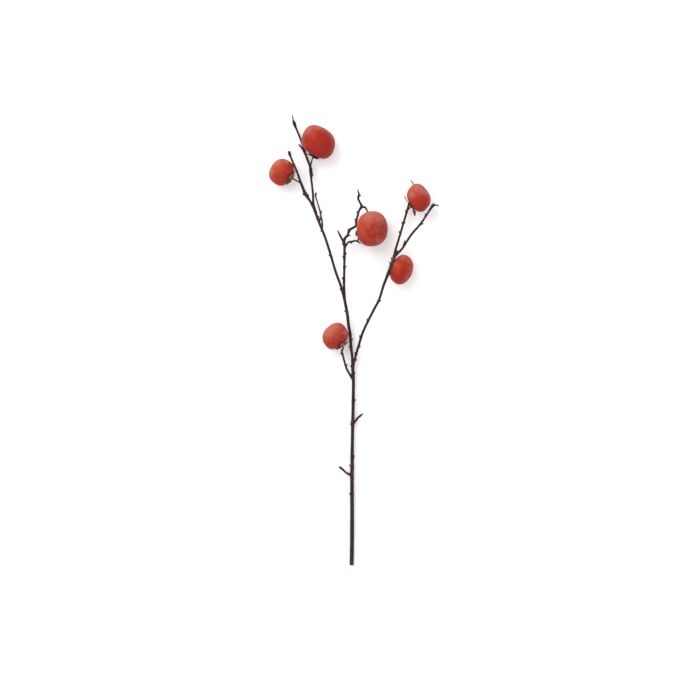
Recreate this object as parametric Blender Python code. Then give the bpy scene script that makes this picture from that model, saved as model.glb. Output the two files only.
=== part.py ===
"""A cut persimmon branch with six fruits, lying on a table.

The wood is one solid that grew as one piece: a main stem with its cut end, two limbs that fork from it,
their twigs, spurs, buds and the six fruit stalks. Each fruit and each calyx is a solid of its own.
The branch runs along +Y with its cut end at -Y, +Z is up from the table, and the origin is at the middle
of the bottom of its box. Run it with blender --background --python part.py, or from the text editor.
"""

import math

import bmesh
import bpy
import numpy as np

MM = 0.001

# Driving sizes of the wood
COLLAR = 0.35  # extra girth of a twig where it leaves its parent
COLLAR_LENGTH = 5.0 * MM  # how quickly that collar fades
RING_SPACING = 7.5 * MM
THICK_WOOD = 5.0 * MM  # at this diameter and over a limb gets the most sides
THIN_WOOD = 3.2 * MM
BUD_LENGTH = 4.4 * MM
BUD_WIDTH = 2.8 * MM
BUD_LEAN = math.radians(40)  # between the bud and the twig that it sits on
STALK_WIDTH = 2.6 * MM
STALK_RUN = 2.5 * MM  # the straight last stretch of a stalk, along the fruit's axis
BUD_SETBACK = 3.6 * MM  # how far behind its tip a bud leaves its twig

# Driving sizes of the fruit, shared by all six
SQUARENESS = 2.5  # exponent of the outline: 2 is an ellipse, more is squarer
SHOULDER_SHARE = 0.04  # how much wider the calyx half is than the blossom half
STEM_DIMPLE = (3.0 * MM, 8.0 * MM)  # depth and width
BLOSSOM_DIMPLE = (1.3 * MM, 5.0 * MM)
LOBING = (0.010, 0.024)  # four soft ribs: everywhere, and more towards the calyx
WAVES = ((1, 0.014), (2, 0.010), (3, 0.007))  # how many round the fruit, and how high
RESTING_DENT = 0.45 * MM  # how deep the table flattens a fruit that rests on it
ROUND_STEPS, POLE_STEPS = 24, 12

# Driving sizes of the calyx, the four dry sepals at the stalk end
SEPALS = 4
CALYX_THICKNESS = 0.9 * MM
VALLEY_SHARE = 0.50  # how far out the notch between two sepals is, as a share of the reach
SEPAL_POINT = 0.60  # under 1 gives broad sepals, over 1 gives narrow ones
CALYX_CLEARANCE = 0.45 * MM
CALYX_LIFT_SHARE = 0.06  # the gap to the fruit grows by this share of the distance from the axis
CALYX_ROUND_STEPS, CALYX_RINGS = 32, 4
JOINT_GAP = 0.3 * MM  # between a stalk's end and its calyx

# Each limb is a route of (x, y, z, diameter) in millimetres, from its parent to its tip.
STEM = (
    (-4, -429, 3.65, 7.8), (-3, -341, 4.8, 7.4), (-3.4, -262, 6.3, 7.2), (-3.8, -255, 6.5, 8.2),
    (-3.2, -246, 6.7, 6.9), (-3, -220, 7, 6.5), (-2, -165, 8.3, 6.2), (-2, -155, 8.5, 7.0),
    (-1.5, -145, 8.8, 6.2), (-1, -112, 9.5, 6.2), (-0.6, -74, 10.5, 6.0), (-1.6, -60, 11, 6.0),
    (-2.4, -45, 11.2, 5.2), (-3, -29, 11.5, 4.9), (-4.4, -18, 11.5, 5.4), (-6, -1, 12, 5.6),
    (-7, 14, 12.5, 5.6), (-10, 31, 14.5, 5.6), (-12, 49, 17.5, 5.8), (-17, 76, 22, 5.4),
    (-24.3, 104, 25, 5.0), (-34.2, 131, 27, 4.9), (-45, 167, 28, 4.9), (-54.3, 196, 28, 4.8),
    (-63, 218, 28, 4.8), (-67.5, 230, 28, 5.2), (-77.2, 255, 28, 4.9), (-84.3, 267.7, 28, 4.6),
    (-91.7, 279, 28, 6.8), (-95.1, 286.7, 28.3, 5.8), (-99.3, 297, 29, 5.2), (-101.8, 304, 29.5, 4.6),
    (-107.5, 320, 33, 4.0), (-112.5, 332, 36, 4.1), (-117.5, 344, 38, 3.9), (-119.8, 349.5, 38.8, 4.2),
    (-121.4, 354, 39.5, 6.0), (-122.3, 358, 40, 5.0),
)
LEFT_TWIG = (
    (-71.5, 242, 28, 4.4), (-75.2, 254, 27.6, 5.0), (-76.9, 262, 26.8, 4.6), (-77.3, 276, 25, 4.3),
    (-78.7, 291, 22.2, 4.2), (-80.7, 307, 19.2, 4.3), (-81, 314, 17.8, 5.0), (-81.5, 319.5, 16.7, 6.6),
    (-82.1, 326, 15.4, 6.6), (-83.2, 333, 14, 5.2), (-85.5, 339, 12.7, 4.4), (-92, 356, 8.5, 4.5),
    (-99.5, 380, 8, 4.0), (-107.5, 400, 11, 3.9), (-110.5, 407, 12.7, 4.4), (-113.4, 415, 14.8, 6.7),
    (-115, 419.3, 16, 4.2), (-115.5, 422, 16.7, 3.0), (-117, 429.3, 18, 2.4),
)
LEFT_SPUR = ((-92, 357, 8.3, 3.8), (-98.5, 368, 9.5, 3.5), (-104.5, 374.5, 12, 3.6))
DEAD_TWIG = (
    (-60.7, 207, 28, 4.0), (-59.8, 220, 29.5, 3.6), (-60.8, 230, 30.5, 3.4), (-63, 241, 31, 3.3),
    (-64.8, 249, 31.5, 3.0), (-69.4, 264.5, 33, 2.5), (-72.6, 275.5, 35, 2.9), (-72.2, 281.3, 36, 1.9),
)
DEAD_TWIG_WEB = ((-66.5, 224, 28, 3.4), (-63.6, 232.5, 30, 3.0), (-62.4, 237.5, 31, 2.4))
MIDDLE_LIMB = (
    (-16, 70, 21, 4.0), (-18.5, 104, 25, 5.0), (-18, 136, 27.5, 4.7), (-17.5, 162, 29, 4.9),
    (-17.3, 180, 29.5, 5.3), (-18.4, 189.5, 30, 6.3), (-16, 195.5, 30.5, 5.1), (-11.5, 200.5, 31, 4.5),
    (-9.6, 206.5, 31.5, 4.8), (-6, 212, 32, 4.9), (3.4, 217.6, 33, 4.4), (4.4, 226, 33, 4.2),
    (7, 236, 32, 4.2), (9.8, 246.5, 31, 4.1), (14.7, 255.6, 30, 5.2), (11, 264, 31, 3.8),
    (8.3, 270.5, 32, 4.3), (10, 277.3, 33, 4.3), (8.6, 282, 34, 2.9), (7.8, 287, 35, 2.5),
)
MIDDLE_LEFT_TIP = ((-18, 186, 30, 4.0), (-23, 194.5, 31, 4.0), (-28, 204, 33.5, 3.3), (-30.5, 209.5, 35, 2.0))
MIDDLE_HOOK = ((14, 255.2, 30, 3.9), (21.8, 253.6, 26, 3.7), (24.6, 249.6, 20, 3.0), (27, 245, 14.5, 2.4))
MIDDLE_LOW_TWIG = (
    (-17, 178, 29.5, 3.8), (-10.2, 187.5, 27, 3.6), (-4, 188.6, 25, 3.9), (3.5, 190.8, 20, 3.5),
    (8, 189.5, 15.5, 3.1), (12.5, 186.5, 12, 2.4),
)
RIGHT_LIMB = (
    (-1, -72, 10.5, 5.2), (-0.5, -48, 12.5, 4.6), (2.2, -34, 14.6, 4.7), (5.6, -22, 16.5, 4.8),
    (10, -7, 18.5, 4.9), (15, 10, 21, 5.0), (22, 27, 24, 4.9), (38, 59, 30, 5.0), (48, 78, 34, 4.9),
    (56.5, 105, 39, 5.1), (61.5, 118, 41.5, 5.5), (64.8, 126.5, 46, 6.2), (67.4, 134.5, 48, 5.5),
    (71.4, 145.7, 49.2, 5.4), (76.3, 158, 47.5, 5.8), (83, 165.5, 44.4, 4.8), (92.5, 176, 40, 4.3),
    (109, 201, 36, 4.4), (127, 222, 34.5, 4.2), (138.7, 239.7, 34, 3.8), (147, 252.5, 34, 4.8),
    (150.9, 257.3, 34, 6.8), (155, 257.6, 34, 3.3), (160.6, 256.5, 34.6, 3.0),
)
RIGHT_TWIG = (
    (76.3, 159, 47, 4.9), (78.4, 170, 42.5, 4.6), (81.4, 180, 37, 4.4), (89, 205, 27, 4.2),
    (96.3, 230, 19, 4.2), (101, 245.5, 13, 4.3), (104.4, 257.6, 8, 4.0), (108, 270, 5, 3.4),
    (113.5, 286, 5, 2.8), (114.5, 298.3, 8, 2.4), (109, 306.5, 12, 2.0),
)
RIGHT_WEB = ((77.5, 160, 46.5, 3.6), (80.6, 167, 43.6, 3.6), (82.3, 171, 42.6, 2.8))
RIGHT_SPUR = ((94, 178.5, 39.6, 3.0), (97, 190, 41.8, 2.2))
FORK_TWIG = (
    (-1.3, -73, 10.5, 4.6), (-7, -65, 12, 4.2), (-13.2, -54, 13.8, 4.0), (-16.5, -44, 15.5, 4.0),
    (-20, -31, 19, 3.9), (-22.3, -22, 22, 3.8), (-23, -17, 24, 3.2),
)
STEM_SPUR_RIGHT = (
    (-1.5, -159, 8.5, 4.6), (2.2, -154.5, 9.5, 4.0), (6.2, -149, 10.5, 4.5), (9, -146, 11.5, 3.9),
    (12, -143.3, 12.5, 4.6), (17, -139.2, 14, 3.0),
)
STEM_SPUR_LEFT = (
    (-3, -259, 6.5, 6.0), (-7, -255.3, 7.5, 5.0), (-12, -253.6, 8, 4.2), (-18.2, -248.2, 9.5, 3.8),
    (-24, -243, 11, 5.0), (-27.5, -241, 12, 4.2),
)

# Each limb with its buds. A bud is given by the (x, y) that its tip is near, which sets where it sits on
# the limb and on which side.
LIMBS = {
    "stem": (STEM, ((-8, -292), (-6.5, -237), (1.8, -220), (-7, -159), (2, -112), (3.6, -61), (-8, -48),
                    (-8, -11), (-3, 4), (-16, 58), (-27, 98), (-47, 163), (-63, 238), (-96, 279),
                    (-87, 277))),
    "left_twig": (LEFT_TWIG, ((-79, 318), (-97, 387))),
    "left_spur": (LEFT_SPUR, ()),
    "dead_twig": (DEAD_TWIG, ((-62.5, 247), (-70, 279))),
    "dead_twig_web": (DEAD_TWIG_WEB, ()),
    "middle_limb": (MIDDLE_LIMB, ((-22, 120), (-21.3, 161), (-13.8, 167), (-14, 142), (-22.4, 184), (-6, 201),
                                  (-10.3, 212.5), (1, 231), (6, 245), (17.8, 258), (13, 278))),
    "middle_left_tip": (MIDDLE_LEFT_TIP, ()),
    "middle_hook": (MIDDLE_HOOK, ()),
    "middle_low_twig": (MIDDLE_LOW_TWIG, ((-4, 186),)),
    "right_limb": (RIGHT_LIMB, ((6, -35), (2, -22.5), (12.5, -10), (11, 10.5), (22, 44), (53, 76), (70, 127),
                                (70, 147), (71, 157), (134, 220), (133, 243))),
    "right_twig": (RIGHT_TWIG, ((86, 208), (92, 225), (99, 225), (98.5, 248.5), (118, 299))),
    "right_web": (RIGHT_WEB, ()),
    "right_spur": (RIGHT_SPUR, ()),
    "fork_twig": (FORK_TWIG, ((-12, -45), (-25.5, -23))),
    "stem_spur_right": (STEM_SPUR_RIGHT, ()),
    "stem_spur_left": (STEM_SPUR_LEFT, ()),
}

# Each fruit: its middle (x, y) in millimetres, the way its blossom end points (degrees about Z from +X, and
# degrees above the table), its diameter and height, its lean (the blossom end's shift to the side, as a
# share of the height) and the turn of its ribs. Then its calyx: the turn of the sepals, the reach of each
# of the four, the woody knob's height and width, how far each sepal curls away, how far its margins
# fold, and the angle that makes one margin fold more than the other. Last, the points (x, y, z) that its
# stalk passes from the wood, and the height of its middle if it hangs clear of the table.
FRUITS = {
    "top": dict(at=(-66.6, 377.7), points=62, tilt=12, diameter=66.6, height=55, lean=0.12, ribs=5,
                sepals=40, reach=(15, 14, 14, 13.5), knob=(3.6, 5.5), curls=(2.2, 1.6, 1.0, 1.4),
                folds=(2.2, 1.8, 1.6, 1.8), twist=30,
                stalk=((-82.2, 327, 15.2), (-81.6, 337, 18)), hangs=None),
    "left": dict(at=(-137.6, 320.8), points=150.5, tilt=-7, diameter=50.4, height=42.4, lean=0, ribs=45,
                 sepals=0, reach=(15.5, 17, 15.5, 16), knob=(4.8, 7.5), curls=(0.6, 0.5, 0.8, 1.4),
                 folds=(0.8, 0.6, 0.8, 1.2), twist=20,
                 stalk=((-100.5, 299.5, 29.2), (-105, 302.4, 29.6)), hangs=None),
    "middle": dict(at=(35.7, 212.7), points=-3, tilt=38, diameter=66.9, height=47.5, lean=0.04, ribs=110,
                   sepals=125, reach=(20.5, 18.5, 18, 17), knob=(3.4, 5.0), curls=(4.2, 3.0, 2.0, 2.0),
                   folds=(1.2, 1.2, 1.4, 1.4), twist=-20,
                   stalk=((8, 189.5, 15.5), (9, 197, 11.5), (11, 206, 10.5)), hangs=None),
    "right_top": dict(at=(123.5, 271.3), points=38, tilt=12, diameter=51.6, height=41, lean=0.16, ribs=8,
                      sepals=0, reach=(23, 15, 18, 17), knob=(2.4, 4.0), curls=(2.6, 0.4, 7.0, 2.0),
                      folds=(3.4, 0.6, 4.8, 1.6), twist=75,
                      stalk=((101.8, 247, 12.5), (104, 250.5, 19)), hangs=36),
    "right_low": dict(at=(91.4, 135.3), points=-28, tilt=20, diameter=56, height=37, lean=-0.12, ribs=45,
                      sepals=45, reach=(16, 15, 15, 16), knob=(3.4, 5.0), curls=(1.8, 1.2, 1.6, 2.0),
                      folds=(1.5, 1.5, 1.5, 1.5), twist=40,
                      stalk=((71.4, 145.7, 48), (69, 147.4, 34), (69.2, 148.6, 23)), hangs=None),
    "fork": dict(at=(-35, 9.6), points=129, tilt=-8, diameter=50.9, height=43.3, lean=-0.08, ribs=74,
                 sepals=4, reach=(13.5, 17.5, 15.5, 16), knob=(4.8, 7.5), curls=(0.4, 0.6, 1.6, 1.2),
                 folds=(0.4, 3.0, 3.2, 1.2), twist=25,
                 stalk=((-22.3, -22, 22), (-21.6, -17, 25)), hangs=None),
}


def clear_scene():
    for obj in list(bpy.data.objects):
        bpy.data.objects.remove(obj, do_unlink=True)


def material(name, colour, roughness):
    """A Principled material with this part's colour."""
    made = bpy.data.materials.new(name)
    made.use_nodes = True
    shader = made.node_tree.nodes["Principled BSDF"]
    shader.inputs["Base Color"].default_value = (*colour, 1.0)
    shader.inputs["Roughness"].default_value = roughness
    shader.inputs["Metallic"].default_value = 0.0
    return made


def mesh_object(name, points, faces, surface, smooth=True):
    """An object from points in metres and faces as lists of indices."""
    mesh = bpy.data.meshes.new(name)
    mesh.from_pydata([tuple(p) for p in points], [], [tuple(f) for f in faces])
    mesh.materials.append(surface)
    if smooth:
        mesh.shade_smooth()
        mesh.set_sharp_from_angle(angle=math.radians(50))
    obj = bpy.data.objects.new(name, mesh)
    bpy.context.scene.collection.objects.link(obj)
    return obj


def smooth_route(route, spacing):
    """Points at about this spacing on a Catmull-Rom curve through the route's rows."""
    rows = np.asarray(route, float)
    padded = np.vstack([2 * rows[0] - rows[1], rows, 2 * rows[-1] - rows[-2]])
    out = []
    for a, b, c, d in zip(padded, padded[1:], padded[2:], padded[3:]):
        steps = max(1, round(np.linalg.norm(c[:3] - b[:3]) / spacing))
        for t in np.arange(steps) / steps:
            out.append(0.5 * (2 * b + (c - a) * t + (2 * a - 5 * b + 4 * c - d) * t**2
                              + (3 * b - a - 3 * c + d) * t**3))
    return np.array(out + [rows[-1]])


def ring_frames(centres):
    """Two unit vectors across the path at each centre, turned as little as possible from ring to ring."""
    along = np.gradient(centres, axis=0)
    along /= np.linalg.norm(along, axis=1)[:, None]
    side = np.cross(along[0], (0, 0, 1))
    sides = []
    for direction in along:
        side = side - direction * (side @ direction)
        side = side / np.linalg.norm(side)
        sides.append(side)
    sides = np.array(sides)
    return along, sides, np.cross(sides, along)


def sides_for(diameter):
    if diameter >= THICK_WOOD:
        return 8
    return 7 if diameter >= THIN_WOOD else 6


def tube(name, rows, surface, collar=True, pointed=True):
    """A closed tube along rows of (x, y, z, diameter) in metres, with a collar at its root and a point or a
    flat cut at its tip. Its root cap is flat."""
    centres, radii = rows[:, :3], rows[:, 3] / 2
    if collar:
        run = np.r_[0, np.cumsum(np.linalg.norm(np.diff(centres, axis=0), axis=1))]
        radii = radii * (1 + COLLAR * np.exp(-run / COLLAR_LENGTH))
    count = sides_for(rows[:, 3].max())
    along, sides, ups = ring_frames(centres)
    angles = 2 * math.pi * (np.arange(count) + 0.5) / count
    rings = (centres[:, None] + radii[:, None, None] * (
        np.cos(angles)[None, :, None] * sides[:, None] + np.sin(angles)[None, :, None] * ups[:, None]))
    points = list(rings.reshape(-1, 3))
    faces = [list(range(count))[::-1]]
    for ring in range(len(centres) - 1):
        for k in range(count):
            a, b = ring * count + k, ring * count + (k + 1) % count
            faces.append((a, b, b + count, a + count))
    last = (len(centres) - 1) * count
    if pointed:
        points.append(centres[-1] + along[-1] * radii[-1])
        faces += [(last + k, last + (k + 1) % count, len(points) - 1) for k in range(count)]
    else:
        faces.append([last + k for k in range(count)])
    obj = mesh_object(name, points, faces, surface)
    fix_normals(obj)
    return obj


def fix_normals(obj):
    """Turns every face outwards."""
    form = bmesh.new()
    form.from_mesh(obj.data)
    bmesh.ops.recalc_face_normals(form, faces=form.faces)
    form.to_mesh(obj.data)
    form.free()


def bud(name, rows, seen, lift, surface):
    """A small pointed bud that leans along its twig, with its root sunk in the wood. seen is the (x, y)
    near its tip, and lift turns it up or down round the twig."""
    centres = rows[:, :3]
    along, _, _ = ring_frames(centres)
    near = int(np.argmin(np.hypot(*(centres[:, :2] - np.array(seen) * MM).T)))
    run = np.r_[0, np.cumsum(np.linalg.norm(np.diff(centres, axis=0), axis=1))]
    where = int(np.argmin(abs(run - max(run[near] - BUD_SETBACK, 0))))
    out = np.array((*(np.array(seen) * MM - centres[near, :2]), 0.0))
    out = out / np.linalg.norm(out) + (0, 0, lift)
    out = out - along[where] * (out @ along[where])
    out = out / np.linalg.norm(out)
    way = math.cos(BUD_LEAN) * along[where] + math.sin(BUD_LEAN) * out
    radius = rows[where, 3] / 2
    root = centres[where] + out * (radius - 0.5 * BUD_WIDTH)
    tip = root + way * (BUD_LENGTH + 0.5 * BUD_WIDTH)
    knee = root + (tip - root) * 0.5
    route = np.array([(*root, 0.8 * BUD_WIDTH), (*knee, BUD_WIDTH), (*tip, 0.3 * BUD_WIDTH)])
    return tube(name, route, surface, collar=False)


def fruit_frame(fruit):
    """The fruit's axis towards its blossom end, which leans, and the level and upward ways across it."""
    turn, tilt = math.radians(fruit["points"]), math.radians(fruit["tilt"])
    axis = np.array((math.cos(tilt) * math.cos(turn), math.cos(tilt) * math.sin(turn), math.sin(tilt)))
    level = np.array((-math.sin(turn), math.cos(turn), 0.0))
    return axis + fruit["lean"] * level, level, np.cross(axis, level)


def fruit_surface(fruit, order, around, down):
    """Radius and height along the axis at these angles: a superellipse turned about the axis, with a dimple
    at each end, four soft ribs that grow towards the calyx, and a few waves that differ by fruit.
    around is the angle about the axis, and down is 0 at the blossom end and pi at the calyx."""
    half, high = fruit["diameter"] / 2 * MM, fruit["height"] / 2 * MM
    power = 2 / SQUARENESS
    cosine = np.cos(down)
    radius = half * np.sin(down) ** power * (1 - SHOULDER_SHARE * cosine)
    height = high * np.sign(cosine) * abs(cosine) ** power
    height = height - BLOSSOM_DIMPLE[0] * np.exp(-((radius / BLOSSOM_DIMPLE[1]) ** 2)) * (cosine > 0)
    height = height + STEM_DIMPLE[0] * np.exp(-((radius / STEM_DIMPLE[1]) ** 2)) * (cosine < 0)
    ribs = LOBING[0] + LOBING[1] * ((1 - cosine) / 2) ** 2
    shape = 1 - ribs * np.cos(SEPALS * (around - math.radians(fruit["ribs"])))
    for count, size in WAVES:
        shape = shape + size * np.sin(count * around + 2.4 * order + count) * np.sin(down)
    return radius * shape, height


def middle_of(fruit, order):
    """The fruit's middle in metres: as low as the table lets it lie, or at the height where it hangs."""
    axis, level, up = fruit_frame(fruit)
    around, down = np.meshgrid(np.linspace(0, 2 * math.pi, 181), np.linspace(0, math.pi, 91))
    radius, height = fruit_surface(fruit, order, around, down)
    lowest = (height * axis[2] + radius * (np.cos(around) * level[2] + np.sin(around) * up[2])).min()
    z = fruit["hangs"] * MM if fruit["hangs"] else -lowest - RESTING_DENT
    return np.array((fruit["at"][0] * MM, fruit["at"][1] * MM, z))


def placed(fruit, middle, radius, around, height):
    """Points of the fruit's own round frame, in the world."""
    axis, level, up = fruit_frame(fruit)
    return (middle + height[..., None] * axis + radius[..., None] * (
        np.cos(around)[..., None] * level + np.sin(around)[..., None] * up))


def rest_on_table(obj):
    """Cuts off what would lie under the table and closes the cut with a flat face."""
    form = bmesh.new()
    form.from_mesh(obj.data)
    cut = bmesh.ops.bisect_plane(form, geom=form.verts[:] + form.edges[:] + form.faces[:], dist=1e-7,
                                 plane_co=(0, 0, 0), plane_no=(0, 0, -1), clear_outer=True)
    rim = [e for e in cut["geom_cut"] if isinstance(e, bmesh.types.BMEdge)]
    if rim:
        bmesh.ops.contextual_create(form, geom=rim)
    bmesh.ops.recalc_face_normals(form, faces=form.faces)
    form.to_mesh(obj.data)
    form.free()


def make_fruit(name, fruit, order, surface):
    """One fruit as a closed skin of rings between two poles."""
    middle = middle_of(fruit, order)
    around = 2 * math.pi * np.arange(ROUND_STEPS) / ROUND_STEPS
    down = math.pi * np.arange(1, POLE_STEPS) / POLE_STEPS
    around, down = np.meshgrid(around, down)
    radius, height = fruit_surface(fruit, order, around, down)
    points = list(placed(fruit, middle, radius, around, height).reshape(-1, 3))
    poles = np.array((0.0, math.pi))
    radius, height = fruit_surface(fruit, order, np.zeros(2), poles)
    points += list(placed(fruit, middle, 0 * radius, np.zeros(2), height))
    blossom, calyx = len(points) - 2, len(points) - 1
    faces = []
    rings = POLE_STEPS - 1
    for k in range(ROUND_STEPS):
        step = (k + 1) % ROUND_STEPS
        faces.append((blossom, k, step))
        faces.append((calyx, (rings - 1) * ROUND_STEPS + step, (rings - 1) * ROUND_STEPS + k))
        for ring in range(rings - 1):
            a, b = ring * ROUND_STEPS + k, ring * ROUND_STEPS + step
            faces.append((a, a + ROUND_STEPS, b + ROUND_STEPS, b))
    obj = mesh_object(name, points, faces, surface)
    fix_normals(obj)
    if not fruit["hangs"]:
        rest_on_table(obj)
    return obj


def shoulder(fruit, radius):
    """Height along the axis of the fruit's calyx side at this distance from the axis, without its ribs."""
    half = fruit["diameter"] / 2 * MM * (1 + SHOULDER_SHARE)
    high = fruit["height"] / 2 * MM
    share = np.clip(radius / half, 0, 1)
    side = -high * (1 - share**SQUARENESS) ** (1 / SQUARENESS)
    return side + STEM_DIMPLE[0] * np.exp(-((radius / STEM_DIMPLE[1]) ** 2))


def round_values(values, turned):
    """A smooth wave round the calyx that passes through the four sepals' own values."""
    first, second, third, fourth = values
    return ((first + second + third + fourth) / 4 + (first - third) / 2 * np.cos(turned)
            + (second - fourth) / 2 * np.sin(turned)
            + (first - second + third - fourth) / 4 * np.cos(2 * turned))


def sepal_wave(fruit, around):
    """The angle from the first sepal, and a wave that is 1 along a sepal's middle and 0 at a notch."""
    turned = around - math.radians(fruit["sepals"])
    return turned, 0.5 + 0.5 * np.cos(SEPALS * turned)


def calyx_under(fruit, radius, around, share):
    """Height of the calyx's inner face. It follows the shoulder, its sepals curl away at their tips, and
    their margins fold away, one more than the other where they twist. share is 0 at the middle and 1 at
    the rim."""
    turned, wave = sepal_wave(fruit, around)
    gap = CALYX_CLEARANCE + CALYX_LIFT_SHARE * radius
    curl = round_values(fruit["curls"], turned) * (share * wave) ** 2
    roll = 0.5 - 0.5 * np.cos(SEPALS * turned - math.radians(fruit["twist"]))
    fold = round_values(fruit["folds"], turned) * share**2 * roll
    return shoulder(fruit, radius) - gap - (curl + fold) * MM


def calyx_thickness(fruit, radius):
    """Thickness of the calyx: thin sepals, and a woody knob at the middle that fades as a bell curve."""
    height, width = fruit["knob"]
    return CALYX_THICKNESS + height * MM * np.exp(-((radius / (width * MM)) ** 2))


def make_calyx(name, fruit, order, surface):
    """Four sepals round a thick middle: a thin bowl with a lobed outline, closed at its rim."""
    middle = middle_of(fruit, order)
    around = 2 * math.pi * np.arange(CALYX_ROUND_STEPS) / CALYX_ROUND_STEPS
    turned, wave = sepal_wave(fruit, around)
    lobes = VALLEY_SHARE + (1 - VALLEY_SHARE) * wave**SEPAL_POINT
    outline = round_values(fruit["reach"], turned) * MM * lobes
    share = np.arange(1, CALYX_RINGS + 1)[:, None] / CALYX_RINGS
    radius = share * outline
    around = np.broadcast_to(around, radius.shape)
    inner = calyx_under(fruit, radius, around, share)
    thick = calyx_thickness(fruit, radius)
    flat = np.zeros(1)
    pole = calyx_under(fruit, flat, flat, flat)
    pole_thick = calyx_thickness(fruit, flat)
    points = np.vstack([
        placed(fruit, middle, radius, around, inner).reshape(-1, 3),
        placed(fruit, middle, radius, around, inner - thick).reshape(-1, 3),
        placed(fruit, middle, flat, flat, pole),
        placed(fruit, middle, flat, flat, pole - pole_thick),
    ])
    count, rings = CALYX_ROUND_STEPS, CALYX_RINGS
    outer, inner_pole, outer_pole = count * rings, 2 * count * rings, 2 * count * rings + 1
    faces = []
    for k in range(count):
        step = (k + 1) % count
        faces += [(inner_pole, step, k), (outer_pole, outer + k, outer + step)]
        for ring in range(rings - 1):
            a, b = ring * count + k, ring * count + step
            faces += [(a, b, b + count), (a, b + count, a + count)]
            faces += [(outer + a, outer + b + count, outer + b), (outer + a, outer + a + count, outer + b + count)]
        a, b = (rings - 1) * count + k, (rings - 1) * count + step
        faces += [(a, b, outer + b), (a, outer + b, outer + a)]
    obj = mesh_object(name, points, faces, surface)
    fix_normals(obj)
    return obj


def stalk_rows(fruit, order):
    """The stalk's route: from the wood, through its points, to the calyx along the fruit's axis."""
    axis, _, _ = fruit_frame(fruit)
    flat = np.zeros(1)
    seat = calyx_under(fruit, flat, flat, flat)[0] - calyx_thickness(fruit, flat)[0] - JOINT_GAP
    end = middle_of(fruit, order) + axis * seat
    way = [np.array(p) * MM for p in fruit["stalk"]]
    way += [end - axis * STALK_RUN, end - axis * STALK_RUN / 2, end]
    return smooth_route([(*p, STALK_WIDTH) for p in way], 0.6 * RING_SPACING)


def join_into(name, base, others):
    """One Boolean union of the base with all the others, applied; the others are then removed."""
    parts = bpy.data.collections.new("wood_parts")
    bpy.context.scene.collection.children.link(parts)
    for obj in others:
        bpy.context.scene.collection.objects.unlink(obj)
        parts.objects.link(obj)
    union = base.modifiers.new("union", "BOOLEAN")
    union.operation = "UNION"
    union.operand_type = "COLLECTION"
    union.collection = parts
    union.solver = "MANIFOLD"
    graph = bpy.context.evaluated_depsgraph_get()
    joined = bpy.data.meshes.new_from_object(base.evaluated_get(graph), depsgraph=graph)
    base.modifiers.clear()
    base.data = joined
    base.name = name
    for obj in others:
        bpy.data.objects.remove(obj, do_unlink=True)
    bpy.data.collections.remove(parts)
    return base


def make_branch(surface):
    """All the wood in one solid: the stem, limbs, twigs, spurs, buds and fruit stalks."""
    pieces = []
    for name, (route, buds) in LIMBS.items():
        rows = smooth_route(np.array(route, float) * MM, RING_SPACING)
        pieces.append(tube(name, rows, surface, collar=name != "stem"))
        fine = smooth_route(np.array(route, float) * MM, 1.5 * MM)
        for number, seen in enumerate(buds):
            pieces.append(bud(f"{name}_bud_{number}", fine, seen, 0.5 * math.sin(2.4 * number), surface))
    for order, (name, fruit) in enumerate(FRUITS.items()):
        pieces.append(tube(f"stalk_{name}", stalk_rows(fruit, order), surface, pointed=False))
    return join_into("branch", pieces[0], pieces[1:])


def main():
    clear_scene()
    bark = material("bark", (0.060, 0.034, 0.030), 0.78)
    skin = material("fruit_skin", (0.560, 0.062, 0.028), 0.52)
    sepal = material("dry_sepal", (0.260, 0.150, 0.075), 0.80)
    make_branch(bark)
    for order, (name, fruit) in enumerate(FRUITS.items()):
        make_fruit(f"fruit_{name}", fruit, order, skin)
        make_calyx(f"calyx_{name}", fruit, order, sepal)


main()
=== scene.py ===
# %% [markdown]
# # A cut persimmon branch with six fruits
# The branch lies on a pale table and is seen from straight above. Three kinds of piece are made here: the
# bark-covered branch, the six waxy fruits, and the dry calyx that holds each fruit. Each one is a surface
# worked out with numpy on a grid and finished with a material made of shader nodes, and it takes the place
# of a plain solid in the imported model. The first cell loads that model as a fixed frame.

# %% Load the frame
import math

import bmesh
import bpy
import numpy as np
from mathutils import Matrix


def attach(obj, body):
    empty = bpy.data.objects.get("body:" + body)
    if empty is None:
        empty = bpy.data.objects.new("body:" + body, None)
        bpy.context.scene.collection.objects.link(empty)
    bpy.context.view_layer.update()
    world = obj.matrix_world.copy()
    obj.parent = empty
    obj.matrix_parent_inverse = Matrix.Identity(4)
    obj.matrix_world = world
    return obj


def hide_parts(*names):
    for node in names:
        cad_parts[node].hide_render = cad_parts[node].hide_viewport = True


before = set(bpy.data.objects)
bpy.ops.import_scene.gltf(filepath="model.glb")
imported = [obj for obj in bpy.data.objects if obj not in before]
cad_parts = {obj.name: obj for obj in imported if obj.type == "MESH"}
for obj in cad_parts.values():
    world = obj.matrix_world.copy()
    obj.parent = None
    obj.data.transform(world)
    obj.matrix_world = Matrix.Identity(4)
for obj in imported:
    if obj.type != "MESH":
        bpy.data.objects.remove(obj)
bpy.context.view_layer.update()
MM = 0.001

# %% [markdown]
# ## Camera and light
# The photograph shows the whole branch on white, flat to the lens. The camera hangs over the branch with a
# long lens, so that near and far parts keep their proportions. Its height makes one pixel of the 700-pixel
# picture 1.9 mm wide at the height of the fruits' middles. The light is soft and comes from the top left of
# the picture. A large bright lamp and a pale world do that without hard shadows.

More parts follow.
